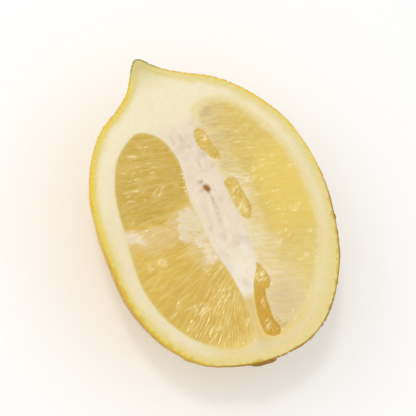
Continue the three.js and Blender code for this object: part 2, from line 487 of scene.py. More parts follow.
def tissue(name, roughness, subsurface, reach, coat, grain, grain_size, shade):
    """Moist plant tissue: its painted tint with a fine mottle, light that spreads inside, and a wet coat."""
    material = bpy.data.materials.new(name)
    material.use_nodes = True
    nodes, links = material.node_tree.nodes, material.node_tree.links
    shader = nodes["Principled BSDF"]
    shader.subsurface_method = "RANDOM_WALK"
    set_inputs(shader, {
        "Roughness": roughness,
        "IOR": 1.38,
        "Subsurface Weight": subsurface,
        "Subsurface Radius": (1.0, 0.7, 0.35),
        "Subsurface Scale": reach * MM,
        "Coat Weight": coat,
        "Coat Roughness": 0.08,
    })
    place = nodes.new("ShaderNodeTexCoord")
    speckle = nodes.new("ShaderNodeTexNoise")
    set_inputs(speckle, {"Scale": 1 / (grain_size * MM), "Detail": 4, "Roughness": 0.6})
    tint = nodes.new("ShaderNodeAttribute")
    tint.attribute_name = "tint"
    spread = nodes.new("ShaderNodeMapRange")
    set_inputs(spread, {"From Min": 0.3, "From Max": 0.7, "To Min": 1 - shade, "To Max": 1 + shade})
    shaded = nodes.new("ShaderNodeVectorMath")
    shaded.operation = "SCALE"
    relief = nodes.new("ShaderNodeBump")
    set_inputs(relief, {"Strength": 0.6, "Distance": grain * MM})
    for source, output, target, socket in (
        (place, "Object", speckle, "Vector"),
        (speckle, "Fac", spread, "Value"),
        (spread, "Result", shaded, "Scale"),
        (tint, "Color", shaded, "Vector"),
        (shaded, "Vector", shader, "Base Color"),
        (speckle, "Fac", relief, "Height"),
        (relief, "Normal", shader, "Normal"),
    ):
        links.new(source.outputs[output], target.inputs[socket])
    return material


# ---- Colours ----
PEEL = linear(240, 198, 30)
PEEL_DEEP = linear(228, 176, 14)
PEEL_PALE = linear(244, 210, 56)
PEEL_OCHRE = linear(202, 150, 16)
PORE = linear(222, 172, 18)
OLIVE = linear(168, 142, 26)
FLAVEDO = linear(228, 200, 76)
FLAVEDO_DEEP = linear(204, 172, 54)
OCHRE = linear(150, 108, 18)
TIP_BROWN = linear(112, 92, 34)
TIP_CREAM = linear(202, 190, 116)
GLAND = linear(206, 176, 60)
PITH = linear(234, 224, 190)
PITH_YELLOW = linear(226, 208, 142)
PITH_LOW = linear(219, 199, 148)
PITH_STAIN = linear(224, 202, 104)
PITH_SHADE = linear(226, 212, 170)
CORE = linear(229, 213, 188)
CORE_WHITE = linear(236, 224, 202)
CORE_SHADE = linear(206, 190, 170)
SPECK = linear(168, 152, 134)
PIT_BROWN = linear(164, 104, 36)
PIT_GREY = linear(150, 132, 98)
JUICE = linear(213, 177, 68)
JUICE_DEEP = linear(196, 157, 46)
SAC_WALL = linear(230, 203, 124)
# painted highlight: the pale colour of wet glints
PAINTED_GLINT = linear(250, 238, 182)
VEIL_AMBER = linear(224, 197, 140)
VEIL = linear(232, 214, 180)
SCRAP_GREY = linear(224, 210, 174)
SKIN = linear(221, 194, 108)
SKIN_BRIGHT = linear(233, 202, 98)
SKIN_GREY = linear(214, 190, 144)
SKIN_BROWN = linear(198, 168, 92)
SKIN_SPOT = linear(244, 220, 162)
STEM_SMEAR = linear(176, 138, 66)
SKIN_CREAM = linear(231, 208, 136)
SLOT_AMBER = linear(205, 158, 26)
SEPTUM = linear(216, 184, 108)
PITH_AMBER = linear(228, 200, 116)
PULP_PALE = linear(230, 202, 112)
FIBRE = linear(236, 219, 184)
STRAND_WHITE = linear(246, 236, 208)
DRY = linear(112, 80, 26)
DRY_PALE = linear(168, 130, 54)


# ---- The outlines that the pieces share ----
STATION_LINE = catmull(
    np.array(STATIONS)[:, [1, 0, 2]] * (HALF_WIDTH, HALF_LENGTH, HALF_WIDTH), False, 24
)
PROFILE = np.column_stack([
    STATION_LINE[:, 1], STATION_LINE[:, 0], STATION_LINE[:, 2], (STATION_LINE[:, 2] - STATION_LINE[:, 0]) / 2,
])
AXIS_ENDS = (STATION_LINE[-1, 0], STATION_LINE[0, 0])  # across, at the stem end and at the nipple
BALL, BALL_QUADS = half_ball(RIND_STEPS)


def rim_loop():
    """The round back's edge on the cut face, anticlockwise."""
    on_edge = BALL[np.abs(BALL[:, 2]) < 1e-9]
    turn = np.round(np.arctan2(on_edge[:, 1], on_edge[:, 0]), 9)
    _, first = np.unique(turn, return_index=True)
    edge = on_edge[first]
    return back_from_directions(edge)[:, :2]


RIM = rim_loop()
RIM_FINE = resampled(RIM, FINE)
RIND_EDGE = inset(RIM, RIND_WALL)
LEFT = segment_loop(LEFT_SEGMENT, 0.25)
RIGHT = segment_loop(RIGHT_SEGMENT, 0.25)
PIT = np.array(PIT_PLACE) * (HALF_WIDTH - PEEL_WALL, HALF_LENGTH - PEEL_WALL)


# ---- Juice sacs ----
SAC_LENGTH = 6.0
SAC_WIDTH = 0.85
SAC_AXIS = 0.5  # across, the line that the sacs point at
# where a line of sacs meets that axis, and its slope there on the left side
SAC_LINES = [(-17, 6.0), (-16, 2.0), (-15, 0.8), (-14, 0.35), (-10, 0.14), (0, 0.0), (10, -0.18), (20, -0.3)]
SAC_FAN = 20.0  # the distance from the axis at which the sacs' width is given


def sac_places(points):
    """For points on the cut face: distance along their line of sacs, and place across the lines."""
    meets, slopes = np.array(SAC_LINES).T
    out = -np.abs(points[:, 0] - SAC_AXIS)
    low = np.full(len(points), -60.0)
    high = np.full(len(points), 60.0)
    for _ in range(28):
        middle = (low + high) / 2
        below = middle + out * np.interp(middle, meets, slopes) < points[:, 1]
        low = np.where(below, middle, low)
        high = np.where(below, high, middle)
    slope = np.interp(low, meets, slopes)
    return np.column_stack([-out * np.sqrt(1 + slope**2), low - SAC_FAN * np.arctan(slope)])


def sacs(points, seed):
    """Which sac each point is in, how far from the sac's wall from 0 to 1, and its place in the sacs."""
    wander = np.column_stack([noise(points, 5.0, seed + 1), noise(points, 3.2, seed + 2)])
    place = sac_places(points + wander * (0.8, 0.35))
    scaled = place / (SAC_LENGTH, SAC_WIDTH)
    low, high = scaled.min(axis=0) - 1, scaled.max(axis=0) + 1
    rows, columns = np.meshgrid(np.arange(low[0], high[0]), np.arange(low[1], high[1]), indexing="ij")
    seeds = np.column_stack([rows.ravel(), columns.ravel()])
    seeds[:, 0] += 0.5 * (np.floor(seeds[:, 1]) % 2)
    seeds += np.random.default_rng(seed).uniform(-0.42, 0.42, seeds.shape)
    tree = tree_of(seeds)
    found = [tree.find_n(p, 2) for p in in_space(scaled)]
    closer_by = np.array([second[2] - first[2] for first, second in found])
    which = np.array([first[1] for first, _ in found])
    return which, step(0.0, 0.42, closer_by), place


# Pale flecks of cut sac ends with painted wet glints, on the left pulp and on the right skin:
# [centre across, along, reach across, along, how many, their slope in degrees]
LEFT_FLECKS = [
    (-18.5, -8.3, 2.4, 0.9, 16, 25), (-13.0, -21.9, 2.2, 1.2, 20, 20), (-6.2, -21.3, 2.2, 1.8, 18, 36),
    (-11.2, -28.0, 1.4, 0.8, 7, 28), (-3.5, -29.0, 0.9, 0.8, 8, 60), (-17.0, -25.0, 0.8, 0.5, 4, 20),
    (-19.2, -20.6, 0.8, 0.6, 4, 30), (-11.0, 7.8, 1.9, 1.0, 9, 28), (-13.5, 14.0, 4.0, 1.6, 12, -12),
    (-13.0, 18.4, 3.6, 1.4, 8, -12), (-17.0, 8.0, 3.0, 2.6, 9, -14), (-6.0, -14.5, 2.2, 1.6, 9, 24),
    (-11.0, -33.2, 3.0, 0.5, 6, 10),
]
RIGHT_FLECKS = [
    (19.8, 13.8, 0.8, 0.4, 4, -15), (22.6, 2.0, 0.7, 0.5, 4, -10), (20.4, -14.6, 0.6, 0.5, 4, -30),
    (12.0, -14.8, 0.6, 0.7, 4, 50), (17.5, -20.5, 2.4, 1.6, 9, -18), (14.2, -29.6, 0.7, 0.9, 6, 40),
    (11.8, 2.6, 1.0, 0.7, 6, 30), (14.0, -4.5, 3.0, 3.0, 9, -12), (13.8, -12.8, 1.4, 0.9, 6, 30),
    (15.0, 5.0, 5.0, 5.0, 14, -12), (14.0, 14.5, 4.0, 3.5, 10, -14), (18.0, -10.0, 3.0, 3.0, 8, -14),
    (12.0, -31.5, 4.0, 1.4, 8, 38),
]
SLOT_FLECKS = [
    (6.8, -3.2, 1.0, 1.9, 26, 34), (6.6, 1.5, 1.0, 1.6, 8, 20), (3.7, -20.3, 1.5, 1.0, 24, 24),
    (1.3, -31.8, 0.8, 1.2, 12, 10), (2.2, -26.0, 0.7, 2.0, 6, 70), (4.6, 14.6, 0.9, 2.4, 8, -20),
]


def flecks(points, clusters, seed):
    """From 0 to 1, how much of a short pale fleck lies at each point: a cut sac end, with a painted wet
    glint.
    """
    rng = np.random.default_rng(seed)
    total = np.zeros(len(points))
    for x, y, across, along, count, slope in clusters:
        near = (np.abs(points[:, 0] - x) < across + 1.5) & (np.abs(points[:, 1] - y) < along + 1.5)
        here = points[near]
        found = np.zeros(len(here))
        for _ in range(count):
            middle = np.array([x, y]) + rng.uniform(-1, 1, 2) * (across, along)
            turn = math.radians(slope + rng.normal(0, 9))
            length, width, strength = rng.uniform(0.3, 0.8), rng.uniform(0.1, 0.19), rng.uniform(0.35, 1)
            out = here - middle
            u = out[:, 0] * math.cos(turn) + out[:, 1] * math.sin(turn)
            v = out[:, 1] * math.cos(turn) - out[:, 0] * math.sin(turn)
            found = np.maximum(found, strength * np.exp(-((u / length) ** 2) - (v / width) ** 2))
        total[near] = np.maximum(total[near], found)
    return total


# ---- The cut face's height and colour ----
def face_relief(points):
    """The spongy relief of rind and pith on the cut face, in millimetres."""
    return 0.045 * noise(points, 1.3, 31) + 0.035 * noise(points, 0.45, 32)


def rim_colour(points):
    """The rind's cut edge, toothed against the pith: an outer line painted ochre as shade, and duller at the
    stem end.
    """
    away, which = nearest(points, RIM_FINE)
    run = np.column_stack([which * FINE, np.zeros(len(which))])
    lower = fall(-9, 5, points[:, 1])
    left = step(-3, 3, -points[:, 0])
    bottom = fall(-40, -28, points[:, 1])
    band = 0.66 + 0.22 * left - 0.3 * bottom + 0.36 * noise(run, 0.8, 41, 1) + 0.16 * noise(run, 0.33, 43, 1)
    tip = step(0.74, 0.94, points[:, 1] / HALF_LENGTH)
    band = band * (1 - 0.4 * tip)
    stain = (0.15 + 0.85 * left) * (1 - tip) * (1 - 0.8 * bottom) * fall(0.8, 2.6, away)
    stained = mix(PITH_YELLOW, PITH_STAIN, stain)
    colour = mix(stained, mix(FLAVEDO, FLAVEDO_DEEP, 0.75 * lower), fall(band - 0.3, band + 0.3, away))
    line = 0.16 + 0.16 * lower + 0.08 * bottom + 0.1 * noise(run, 2.2, 44)
    # painted shade: the outer line darkens from peel yellow to ochre, most towards the stem end
    dry = 0.25 + 0.7 * lower * (1 - left * (1 - bottom))
    return mix(colour, mix(PEEL_DEEP, OCHRE, dry), fall(line - 0.12, line + 0.16, away)), away


def gland_places(seed):
    """The oil glands that the cut opened, in the rind all round the rim."""
    rng = np.random.default_rng(seed)
    loop = resampled(inset(RIM, 0.55), 1.3)
    return loop + rng.uniform(-0.22, 0.22, loop.shape)


def pith_colour(points):
    """Rind and pith on the cut face: yellow next to the rind, cream further in, duller at the stem end."""
    x, y = points.T
    colour, away = rim_colour(points)
    patches = noise(points, 2.2, 51)
    reach = 1.25 + 0.4 * step(2, 10, -x) * fall(-6, 16, y) + 0.5 * fall(-38, -30, y)
    reach += 1.5 * step(0, 12, x) * fall(-28, -10, y) + 0.5 * step(8, 20, x)
    cream = mix(PITH, PITH_SHADE, np.clip(0.55 * fall(-2, 22, y) + 0.12 * patches, 0, 1))
    cream = mix(cream, PITH_LOW, 0.7 * fall(-38, -30, y))
    cream = mix(PITH_YELLOW, cream, step(0.5 * reach, 2.3 * reach, away + 0.8 * patches))
    colour = mix(colour, cream, step(0.8, 2.6, away))
    sponge = 1 + 0.022 * noise(points, 0.9, 52) + 0.018 * noise(points, 0.35, 53)
    return colour * sponge[:, None]


def core_share(points):
    """1 in the core between the segments, 0 in the rest of the pith, and spread wide at the nipple end."""
    x, y = points.T
    wide = 4.2 + 3.5 * step(13, 24, y) + 1.4 * step(0, 2, x) * fall(4, 9, y)
    middle = fall(wide - 1.5, wide + 1.5, np.abs(x - 0.3))
    return middle * step(-25.5, -22.5, y) * fall(16, 25, y)


def strands(points):
    """The core's fibres, which run along the fruit."""
    sway = points + 0.5 * drift(points, 5.0, 34, 35)
    return 0.5 * noise(sway, (0.7, 2.6, 1), 33, 3) + 0.5 * noise(sway, 0.7, 36)


def pith_height(points):
    """The height of pith and core above the plane of the cut, without the pit."""
    height = face_relief(points) + 0.08 * core_share(points) * strands(points)
    to_pulp = np.minimum(-depth_in(points, LEFT), -depth_in(points, RIGHT))
    return height - 0.12 * fall(0.0, 0.6, to_pulp)


# grey flecks in the core: strength, centre and radii
CORE_SPECKS = [
    (0.7, (-3.0, 18.2), (0.5, 1.2)), (0.9, (-0.7, 18.0), (0.45, 0.9)), (0.8, (0.4, 15.2), (0.3, 1.2)),
    (0.5, (0.9, 10.6), (0.4, 1.8)), (0.8, (-0.6, 6.4), (0.8, 0.4)), (1.2, (0.6, 0.8), (0.42, 1.9)),
    (0.6, (0.3, -3.6), (0.5, 2.4)), (0.9, (-0.4, -7.9), (0.5, 0.9)), (0.9, (-1.0, 4.2), (0.7, 0.5)),
    (0.7, (3.9, 9.2), (1.6, 0.8)), (0.5, (1.9, 8.4), (0.7, 0.5)), (0.4, (-2.2, -1.0), (0.4, 2.4)),
    (0.35, (2.6, 12.4), (1.4, 1.0)), (0.35, (-1.8, 11.5), (0.6, 2.2)), (0.3, (1.8, -12.0), (0.5, 2.2)),
]


def core_colour(points, base):
    """The core's colour over the pith's: whitish, fibrous, with grey flecks and amber at its stem end."""
    x, y = points.T
    core = core_share(points)
    fibre = strands(points)
    cloud = noise(points, 2.6, 40)
    dull = np.clip(0.4 * step(0.1, 0.7, fibre) + 0.45 * step(0.0, 0.7, cloud), 0, 0.7)
    crumbs = 0.35 + 0.65 * step(-0.35, 0.35, noise(points, 0.42, 37))
    septum = fall(0.6, 2.6, np.abs(x + 1.0)) * fall(-25, -22, y) * step(-38, -32, y)
    return painted(
        mix(base, mix(CORE, CORE_WHITE, fall(-16, -4, y)), core),
        (CORE_SHADE, core * dull),
        (CORE_WHITE, core * 0.7 * step(0.05, 0.6, -fibre)),
        (SPECK, 0.6 * np.clip(bumps(points, CORE_SPECKS) * crumbs, 0, 1)),
        (SEPTUM, 0.9 * septum),
    )


def pit_share(points):
    """The small brown pit beside the middle of the core."""
    ragged = points + 0.16 * drift(points, 0.5, 38, 39)
    hollow = bumps(ragged, [(1.5, PIT, (0.6, 1.05)), (0.9, PIT + (-0.5, 0.65), (0.42, 0.5))])
    return np.clip(hollow - 0.12, 0, 1)


def face_colour(points):
    """The colour of pith and core everywhere on the cut face, up to the edges of the segments."""
    crumbs = [(0.6, PIT + (-1.0, 2.1), (0.6, 0.4)), (0.6, PIT + (-0.85, 0.5), (0.4, 0.5))]
    to_left, to_right = -depth_in(points, LEFT), -depth_in(points, RIGHT)
    not_core = 1 - core_share(points)
    along = points[:, 1]
    return painted(
        core_colour(points, pith_colour(points)),
        (PIT_GREY, bumps(points, crumbs)),
        (PIT_BROWN, pit_share(points)),
        (PITH_YELLOW, 0.45 * fall(0.0, 0.8, to_left) * not_core),
        (SKIN_CREAM, 0.6 * fall(0.0, 1.6, to_right) * not_core),
        (PITH_AMBER, 0.6 * fall(-33, -28, along) * fall(0.0, 2.0, np.minimum(to_left, to_right))),
        (TIP_CREAM, 0.9 * step(0.76, 0.99, along / HALF_LENGTH + 0.02 * noise(points, 2.0, 54))),
    )


# ---- Pieces ----
# small corners in the outline: height, centre and radii
LUMPS = [(0.45, place, (1.1, 1.1)) for place in ((-20.9, -32.2), (-6.0, -38.9), (27.6, -14.0))]


def pores(steps, seed):
    """Scattered places on the round back."""
    directions, _ = half_ball(steps)
    directions = np.unique(np.round(directions, 6), axis=0)
    rng = np.random.default_rng(seed)
    directions = directions + rng.normal(0, 0.36 * math.pi / 2 / steps, directions.shape)
    directions[:, 2] = -np.abs(directions[:, 2])
    directions /= np.linalg.norm(directions, axis=1, keepdims=True)
    return back_from_directions(directions)


def pore_dents(points):
    """How deep the peel's large and small pores are at each point, and how dark each kind makes it."""
    large, small = pores(22, 71), pores(40, 72)
    radii = np.random.default_rng(73).uniform(0.42, 0.62, len(large))
    to_large, which = nearest(points, large)
    to_small, _ = nearest(points, small)
    dent = 0.3 * hill(to_large, radii[which]) + 0.17 * hill(to_small, 0.34)
    return dent, 0.3 * hill(to_large, 0.8 * radii[which]), 0.2 * hill(to_small, 0.22)


def peel_colour(points, large_pores, small_pores):
    """The waxy peel: olive at both tips, and painted shade in ochre just under the cut towards the stem end.
    """
    along, height = points[:, 1], points[:, 2]
    uneven = noise(points, 7.0, 80)
    return painted(
        mix(PEEL, PEEL_PALE, 0.5 + 0.5 * noise(points, 11.0, 76)),
        (PEEL_DEEP, 0.35 + 0.35 * noise(points, 5.0, 77)),
        (PORE, large_pores),
        (PORE, small_pores),
        (OLIVE, 0.85 * step(0.86, 0.995, along / HALF_LENGTH + 0.03 * noise(points, 2.0, 78))),
        (OLIVE, 0.5 * step(0.95, 1.0, -along / HALF_LENGTH + 0.02 * noise(points, 2.0, 79))),
        # painted shade: the peel's side just under the cut, darker ochre towards the stem end
        (PEEL_OCHRE, 0.8 * step(TOP - 15, TOP - 5, height + 4 * uneven) * fall(-10, 12, along + 4 * uneven)),
        (OCHRE, 0.65 * step(TOP - 5, TOP - 0.3, height + 0.8 * uneven) * fall(-12, 6, along)),
    )


def cut_rind_colour(flat, gland_away, rim_away):
    """The cut edge of the rind with its opened glands, cream inside brown at the nipple."""
    glands = (0.25 + 0.45 * step(2, 8, -flat[:, 0])) * hill(gland_away, 0.2)
    tip = step(0.84, 0.97, flat[:, 1] / HALF_LENGTH)
    return painted(
        rim_colour(flat)[0],
        (GLAND, glands * step(-4, 6, flat[:, 1])),
        (TIP_CREAM, 0.8 * tip),
        (TIP_BROWN, 0.85 * tip * fall(0.1, 0.5, rim_away)),
    )


def make_rind(material):
    """The coloured rind: its pitted round back, its cut edge and its inside."""
    piece = Piece("rind")
    piece.add(back_from_directions(BALL), BALL_QUADS)
    edge, triangles = filled(RIM, [RIND_EDGE], RIM_SPACING, 1)
    piece.add(raised(edge, TOP), triangles)
    piece.add(*dome(RIND_EDGE, RIND_WALL), flip=True)
    points = piece.weld()
    normals = vectors(piece.mesh.vertex_normals, "vector")
    flat = points[:, :2]
    on_face = points[:, 2] > TOP - ON_FACE
    rim_away, _ = nearest(flat, RIM_FINE)
    gland_away, _ = nearest(flat, gland_places(42))
    hidden = ~on_face & (depth_to_back(points) > 0.4)
    peel = ~on_face & ~hidden | (on_face & (rim_away < 0.02))

    dent, large_pores, small_pores = pore_dents(points)
    swell = 0.16 * noise(points, 6.5, 74) + 0.09 * noise(points, 2.4, 75)
    swell += bumps(flat, LUMPS)
    shift = np.where(peel, (swell - dent - 0.08) * step(0.0, 1.0, points[:, 2]), 0.0)
    moved = points + normals * shift[:, None]
    moved[:, 2] = np.where(on_face, TOP, np.clip(moved[:, 2], 0, TOP))
    sunk = face_relief(flat) - 0.06 * hill(gland_away, 0.26)
    moved[:, 2] += np.where(on_face, sunk, 0)
    piece.place(moved)

    outer = peel_colour(points, large_pores, small_pores)
    tint = np.where(on_face[:, None], cut_rind_colour(flat, gland_away, rim_away), outer)
    tint[hidden] = PITH_YELLOW
    return piece.finish(tint, material, "rind", "lemon_half")


def depth_to_back(points):
    """How far points lie inside the round back, roughly, measured towards the fruit's axis."""
    x, y, z = points.T
    along, left, right = PROFILE[np.argsort(PROFILE[:, 0]), :3].T
    left, right = np.interp(y, along, left), np.interp(y, along, right)
    reach = np.hypot(x - (left + right) / 2, (TOP - z) / DEPTH_SHARE)
    return np.where(z < 0.02, 0, (right - left) / 2 - reach)


def make_pith(material):
    """The white pith and the core, with a well for each segment's pulp."""
    piece = Piece("pith_and_core")
    top, triangles = filled(RIND_EDGE, [LEFT, RIGHT], PITH_SPACING, 2)
    piece.add(raised(top, TOP), triangles)
    for loop in (LEFT, RIGHT):
        piece.add(*wall(loop, TOP, TOP - WELL_DEPTH), flip=True)
        piece.add(raised(loop, TOP - WELL_DEPTH), [range(len(loop))])
    piece.add(*dome(RIND_EDGE, RIND_WALL))
    points = piece.weld()
    flat = points[:, :2]
    on_face = points[:, 2] > TOP - ON_FACE
    height = pith_height(flat) - 0.55 * pit_share(flat)
    points[:, 2] += np.where(on_face, height, 0)
    piece.place(points)
    tint = face_colour(flat)
    return piece.finish(tint, material, "pith", "lemon_half")


def pulp_look(points, seed):
    """Height and colour of cut juice sacs."""
    which, middle, place = sacs(points, seed)
    rng = np.random.default_rng(seed + 9)
    count = which.max() + 1
    shade, pale, lift = rng.uniform(0, 1, (3, count))
    fine = noise(place, (2.4, 0.3, 1), seed + 5)
    broad = noise(points, 4.0, seed + 6)
    height = 0.15 * middle + 0.12 * (lift[which] - 0.5) + 0.05 * fine
    patchy = step(-0.5, 0.5, noise(points, 1.3, seed + 7))
    return height, painted(
        mix(JUICE, JUICE_DEEP, np.clip(0.42 * shade[which] + 0.25 * broad, 0, 1)),
        (SAC_WALL, 0.4 * pale[which] ** 3),
        (SAC_WALL, (0.16 + 0.3 * patchy) * (1 - middle) ** 1.5),
        (SAC_WALL, 0.3 * np.clip(fine, 0, 1)),
    )


def make_pulp(name, loop, spacing, drop, seed, material, clusters, finish):
    """The juice sacs of one segment, closed below, with a function that finishes their colour."""
    piece = Piece(name)
    top, triangles = filled(loop, [], spacing, seed)
    piece.add(raised(top, TOP - drop), triangles)
    bottom = TOP - WELL_DEPTH + PULP_GAP
    piece.add(*wall(loop, TOP - drop, bottom))
    piece.add(raised(loop, bottom), [range(len(loop))], flip=True)
    points = piece.weld()
    flat = points[:, :2]
    on_face = points[:, 2] > TOP - drop - ON_FACE
    height, tint = pulp_look(flat, seed)
    bright = flecks(flat, clusters, seed + 20)
    deep = depth_in(flat, loop)
    edge = step(0.0, 0.8, deep)
    height = (height - 0.06) * edge + 0.14 * (1 - edge) + 0.07 * bright
    points[:, 2] += np.where(on_face, height, 0)
    piece.place(points)
    tint = mix(tint, PITH_YELLOW, 0.5 * fall(0.0, 0.6, deep))
    # painted highlight: the flecks are painted pale as wet glints
    tint = mix(finish(flat, deep, tint), PAINTED_GLINT, 0.85 * bright)
    return piece.finish(tint, material, "pulp", "lemon_half")


# across and along, the line at which the bare pulp of the nipple end stops
VEIL_LINE = [
    (-24, 3.4), (-22, 2.7), (-19.5, 1.4), (-17.3, 0.6), (-13.5, 0.5), (-9.4, 2.1), (-4.4, 2.9), (-2, 3),
]


def left_veil(points, deep, tint):
    """Thin skin that still hazes the middle of the left segment, and its blurred stem end."""
    x, y = points.T
    across, along = np.array(VEIL_LINE).T
    below = np.interp(x, across, along) + 0.35 * noise(points, 1.5, 92) - y
    streaks = noise(points, (2.6, 0.4, 1), 91, 3)
    band = step(-0.1, 0.5, below) * fall(3.2, 8.5, below + 1.5 * streaks)
    wedge = step(-0.1, 0.9, below - 0.6) * fall(-20.2, -18.2, x + 1.2 * streaks + 0.25 * y)
    wedge *= fall(3.6, 4.6, below + 0.8 * streaks)
    haze = bumps(points, [(1, (-5.4, -11.8), (2.6, 1.3)), (0.55, (-6.5, -8.2), (3.4, 2.2))])
    return painted(
        tint * (1 - 0.1 * fall(-3, 1, below))[:, None],
        (VEIL_AMBER, band * np.clip(0.66 + 0.4 * streaks, 0, 1)),
        (VEIL, 0.9 * wedge),
        (VEIL, np.clip(haze * (0.85 + 0.7 * streaks), 0, 0.85)),
        (PULP_PALE, 0.7 * fall(-33.5, -29.0, y) * fall(0.5, 3.5, deep)),
    )


def under_skin(points, _, tint):
    """The amber pulp that shows in the torn skin's slots, with a brown smear near the stem end."""
    return painted(
        tint,
        (SAC_WALL, 0.14 * step(-16, -12, points[:, 1])),
        (SLOT_AMBER, 0.9 * fall(-25, -19, points[:, 1])),
        (JUICE_DEEP * 0.8, 0.4 * step(0.1, 0.6, noise(points, 0.5, 93))),
        (STEM_SMEAR, 0.6 * bump(points, (4.2, -32.8), (1.0, 0.6))),
    )


def sheet(name, outer, holes, spacing, seed, high, low):
    """A piece that fills a loop but not its holes, between two heights."""
    piece = Piece(name)
    top, triangles = filled(outer, holes, spacing, seed)
    piece.add(raised(top, high), triangles)
    piece.add(raised(top, low), triangles, flip=True)
    piece.add(*wall(outer, high, low))
    for hole in holes:
        piece.add(*wall(hole, high, low), flip=True)
    return piece


def make_segment_skin(material):
    """The skin over the right segment, torn open beside the core."""
    slots = [segment_loop(slot, 0.16, 0.16, 100 + i) for i, slot in enumerate(SLOTS)]
    notched = cut_away(RIGHT, [slots[0], slots[2]])
    high = TOP - SKIN_DROP
    piece = sheet("segment_skin", notched, [slots[1]], SKIN_SPACING, 5, high, high - SKIN_WALL)
    points = piece.weld()
    flat = points[:, :2]
    _, middle, _ = sacs(flat, 7)
    from_slot = np.min([np.abs(depth_in(flat, slot)) for slot in slots], axis=0)
    deep = depth_in(flat, RIGHT)
    edge = step(0.0, 1.4, deep)
    wrinkle = noise(slanted(flat, 0.95, 0.31), (2.6, 0.55, 1), 61, 3)
    bright = flecks(flat, RIGHT_FLECKS, 27)
    near_core = fall(6.0, 11.5, flat[:, 0] + 0.1 * flat[:, 1])
    height = 0.08 * middle + (0.05 + 0.05 * near_core) * wrinkle + 0.06 * noise(flat, 3.0, 62) + 0.06 * bright
    to_slot = hill(from_slot, 0.35)
    height = height * (1 - to_slot) - 0.1 * to_slot
    points[:, 2] += height * edge + (pith_height(flat) + SKIN_DROP) * (1 - edge)
    piece.place(points)
    tint = painted(
        skin_colour(flat, middle, wrinkle),
        (SLOT_AMBER, 0.45 * hill(from_slot, 0.3)),
        (face_colour(flat), fall(-0.2, 2.0, deep + 0.5 * noise(flat, 1.6, 69))),
        # painted highlight: wet glints painted pale on the skin's flecks
        (PAINTED_GLINT, 0.7 * bright),
    )
    return piece.finish(tint, material, "segment_skin", "lemon_half")


# stains on the segment skin: strength, centre and radii
GREY_STAINS = [
    (0.8, (7.8, 21.0), (3.4, 2.8)), (0.96, (7.4, -28.0), (4.6, 5.0)), (0.48, (9.0, 15.0), (2.4, 3.0)),
]
BROWN_STAINS = [
    (0.6, (9.5, 18.2), (2.6, 0.9)), (0.6, (8.0, 22.0), (2.2, 0.7)), (0.6, (12.0, 13.5), (2.6, 2.2)),
    (0.48, (11.5, 7.5), (3.0, 1.4)), (0.54, (7.2, 12.5), (1.6, 4.0)), (0.6, (5.9, 7.4), (1.5, 1.5)),
]
STEM_STAINS = [
    (0.8, (5.0, -33.3), (1.5, 0.5)), (0.9, (3.9, -31.0), (0.3, 0.25)), (0.9, (4.3, -31.9), (0.25, 0.3)),
]


def skin_colour(flat, middle, wrinkle):
    """Pulp seen through its skin: golden in the middle, whitish near the core, pale at the stem end."""
    _, pulp = pulp_look(flat, 7)
    x, y = flat.T
    patches = noise(flat, 3.5, 63)
    golden = step(-17, -8, y + 2 * patches) * fall(5, 12, y + 2 * patches) * step(10, 17, x + 1.5 * patches)
    low = fall(-26, -12, y - 0.35 * (x - 12) + 2 * patches) * step(9, 15, x + patches)
    near_core = fall(7.0, 12.5, x + 0.08 * y + 2.2 * patches)
    streak = noise(slanted(flat, 0.96, 0.28), (1.5, 0.25, 1), 66)
    frayed = step(-2, 8, y) * fall(9, 15, x)
    return painted(
        mix(pulp, SKIN, 0.7 - 0.1 * middle),
        (SKIN_BRIGHT, 0.75 * golden),
        (SKIN_CREAM, 0.6 * low),
        (FIBRE, np.clip(near_core * (0.62 + 0.55 * wrinkle), 0, 0.95)),
        (SKIN_GREY, np.clip(bumps(flat, GREY_STAINS) * (1 + 0.5 * wrinkle), 0, 0.85)),
        (SKIN_BROWN, np.clip(bumps(flat, BROWN_STAINS) * (0.7 + 0.9 * wrinkle), 0, 0.6)),
        (SKIN_SPOT, 0.85 * bump(flat, (14.3, -29.4), (0.6, 1.0))),
        (STEM_SMEAR, bumps(flat, STEM_STAINS)),
        (SKIN_BROWN, (0.2 + 0.45 * frayed) * np.clip(-1.2 * streak, 0, 1)),
        (SKIN_CREAM, (0.55 + 0.2 * frayed) * np.clip(streak, 0, 1)),
    )


def longest_run(chosen):
    """The indices of the longest unbroken run of chosen points in a loop, in order."""
    start = int(np.flatnonzero(~chosen)[0])
    order = (np.arange(len(chosen)) + start) % len(chosen)
    best, run = [], []
    for i in order:
        run = [*run, i] if chosen[i] else []
        best = run if len(run) > len(best) else best
    return np.array(best)


def cut_away(outline, bites):
    """An outline less the parts of it that lie in other loops, which become bays in it."""
    for bite in bites:
        kept = outline[longest_run(~inside(outline, bite))]
        path = bite[longest_run(inside(bite, outline))]
        if np.linalg.norm(path[0] - kept[-1]) > np.linalg.norm(path[-1] - kept[-1]):
            path = path[::-1]
        outline = np.vstack([kept, path])
    return outline


def make_scrap(material):
    """The scrap of torn skin that lies across the left segment, sunk into the pulp at its ragged edges."""
    loop = segment_loop(SCRAP, 0.2, 0.5, 120)
    high = TOP - SCRAP_DROP
    piece = sheet("skin_scrap", loop, [], SCRAP_SPACING, 6, high, high - SCRAP_WALL)
    points = piece.weld()
    flat = points[:, :2]
    deep = depth_in(flat, loop)
    streaks = noise(slanted(flat, 0.94, 0.34), (1.8, 0.45, 1), 65, 3)
    tears = step(-0.1, 0.5, noise(flat, 1.1, 68)) * fall(-7.0, -4.0, flat[:, 1])
    edge = step(-0.3, 1.2, deep + 0.5 * streaks)
    points[:, 2] += 0.07 * streaks - 0.28 * (1 - edge) - 0.2 * tears
    piece.place(points)
    _, pulp = pulp_look(flat, 3)
    pulp = left_veil(flat, np.full(len(flat), 9.0), pulp)
    cover = np.clip((0.85 + 0.45 * streaks - 0.35 * tears) * step(-0.2, 1.0, deep), 0, 0.95)
    pale = mix(SCRAP_GREY, VEIL, fall(-9.0, -6.0, flat[:, 1]))
    return piece.finish(mix(pulp, pale, cover), material, "segment_skin", "lemon_half")


